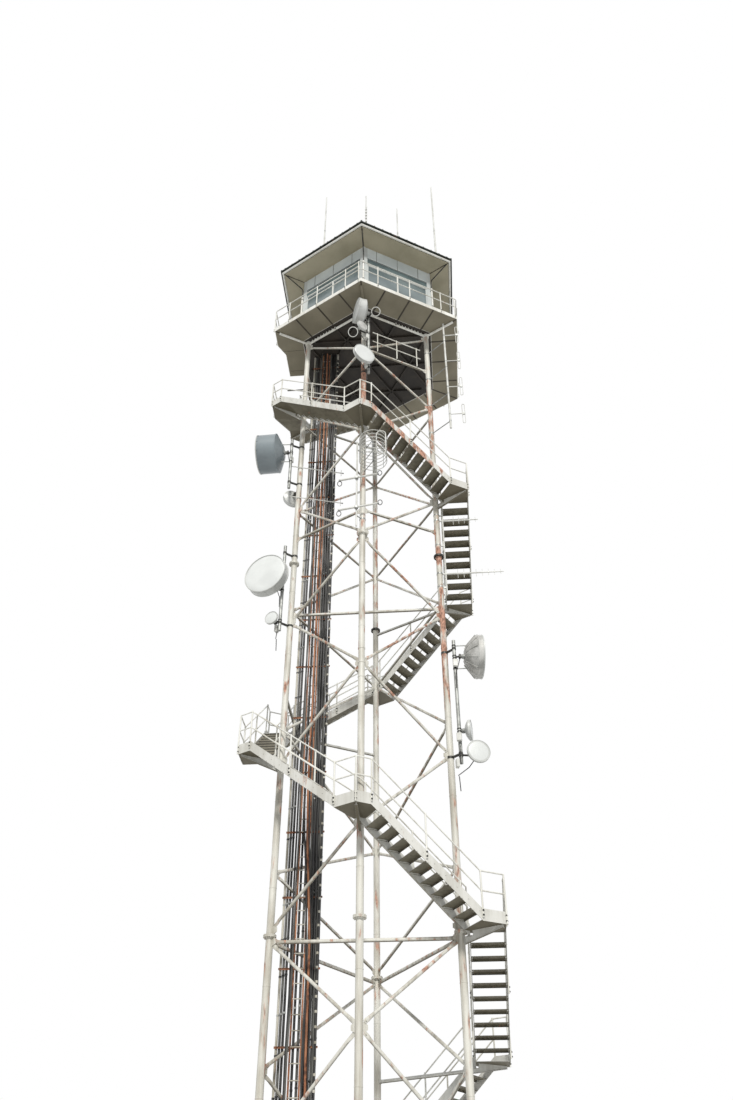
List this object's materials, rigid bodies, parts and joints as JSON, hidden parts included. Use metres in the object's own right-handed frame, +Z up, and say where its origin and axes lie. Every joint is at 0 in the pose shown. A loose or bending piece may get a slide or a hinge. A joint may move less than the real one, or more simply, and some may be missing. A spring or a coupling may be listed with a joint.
{
  "type": "fire lookout tower",
  "caption": "Hexagonal lookout cabin with a gallery on braced tubular legs, with a stair winding round the outside",
  "frame": {"origin": "centre of the underside of the base plate of the near leg, on the ground", "axes": "+Z up; +Y from the near leg through the hexagon's centre to the far leg; +X to the right seen from the near side"},
  "size_m": [7.0813, 7.1924, 37.7],
  "materials": {
    "aerial_metal": "dull grey aluminium tube",
    "brace_paint": "cream grey paint on steel tube",
    "bracket_steel": "dull galvanised steel",
    "cable_sheath": "black plastic cable sheath, with a few white conduits",
    "deck_plate": "grey painted plate",
    "dish_plastic": "off white and slate grey glass fibre",
    "eaves_board": "buff painted board",
    "floor_underside": "dark brown painted plate",
    "header_band": "dark grey green band",
    "ladder_rust": "rusted orange primer on steel",
    "leg_paint": "cream grey paint on steel tube, rusted in streaks",
    "rail_paint": "pale grey paint on steel tube",
    "roof_sheet": "dark green grey sheet",
    "soffit_sheet": "matt brown grey sheet",
    "stair_paint": "pale grey paint on steel plate",
    "tread_plate": "dull grey paint on folded steel plate",
    "trim_paint": "off white paint",
    "wall_panel": "pale grey enamelled panel",
    "window_glass": "clear glass, dark seen from below"
  },
  "bodies": {
    "root": {"aerial_booms": "aerial_metal", "bracing_near_left": "brace_paint", "bracing_near_right": "brace_paint", "bracing_rear_left": "brace_paint", "bracing_rear_right": "brace_paint", "cabin_corner_posts": "trim_paint", "cabin_door": "trim_paint", "cabin_floor": "floor_underside", "cabin_header_bands": "header_band", "cabin_sill_walls": "wall_panel", "cabin_upper_panels": "wall_panel", "cable_ladder": "ladder_rust", "cage_aerial": "aerial_metal", "dipole_array": "aerial_metal", "dish_brackets": "bracket_steel", "dishes_left": "dish_plastic", "dishes_near": "dish_plastic", "dishes_right": "dish_plastic", "downpipes": "trim_paint", "feeder_cables": "cable_sheath", "flight_railings_inner_1": "rail_paint", "flight_railings_inner_2": "rail_paint", "flight_railings_inner_3": "rail_paint", "flight_railings_outer_1": "rail_paint", "flight_railings_outer_2": "rail_paint", "flight_railings_outer_3": "rail_paint", "gallery_deck": "deck_plate", "gallery_fascia": "trim_paint", "gallery_joists": "floor_underside", "gallery_railing": "rail_paint", "gallery_soffit": "soffit_sheet", "gallery_supports": "trim_paint", "landing_arms": "brace_paint", "landing_railings_inner": "rail_paint", "landing_railings_outer": "rail_paint", "legs_lower": "leg_paint", "legs_middle": "leg_paint", "legs_upper": "leg_paint", "level_beams": "brace_paint", "platform_railing": "rail_paint", "roof_aerials": "aerial_metal", "roof_gutter": "trim_paint", "roof_shell": "roof_sheet", "roof_soffit": "eaves_board", "side_booms": "aerial_metal", "stair_landings_1": "stair_paint", "stair_landings_2": "stair_paint", "stair_stringers_1": "stair_paint", "stair_stringers_2": "stair_paint", "stair_stringers_3": "stair_paint", "stair_treads_1": "tread_plate", "stair_treads_2": "tread_plate", "stair_treads_3": "tread_plate", "window_frames": "trim_paint", "window_panes": "window_glass", "yagi_aerials": "aerial_metal"}
  },
  "joints": []
}
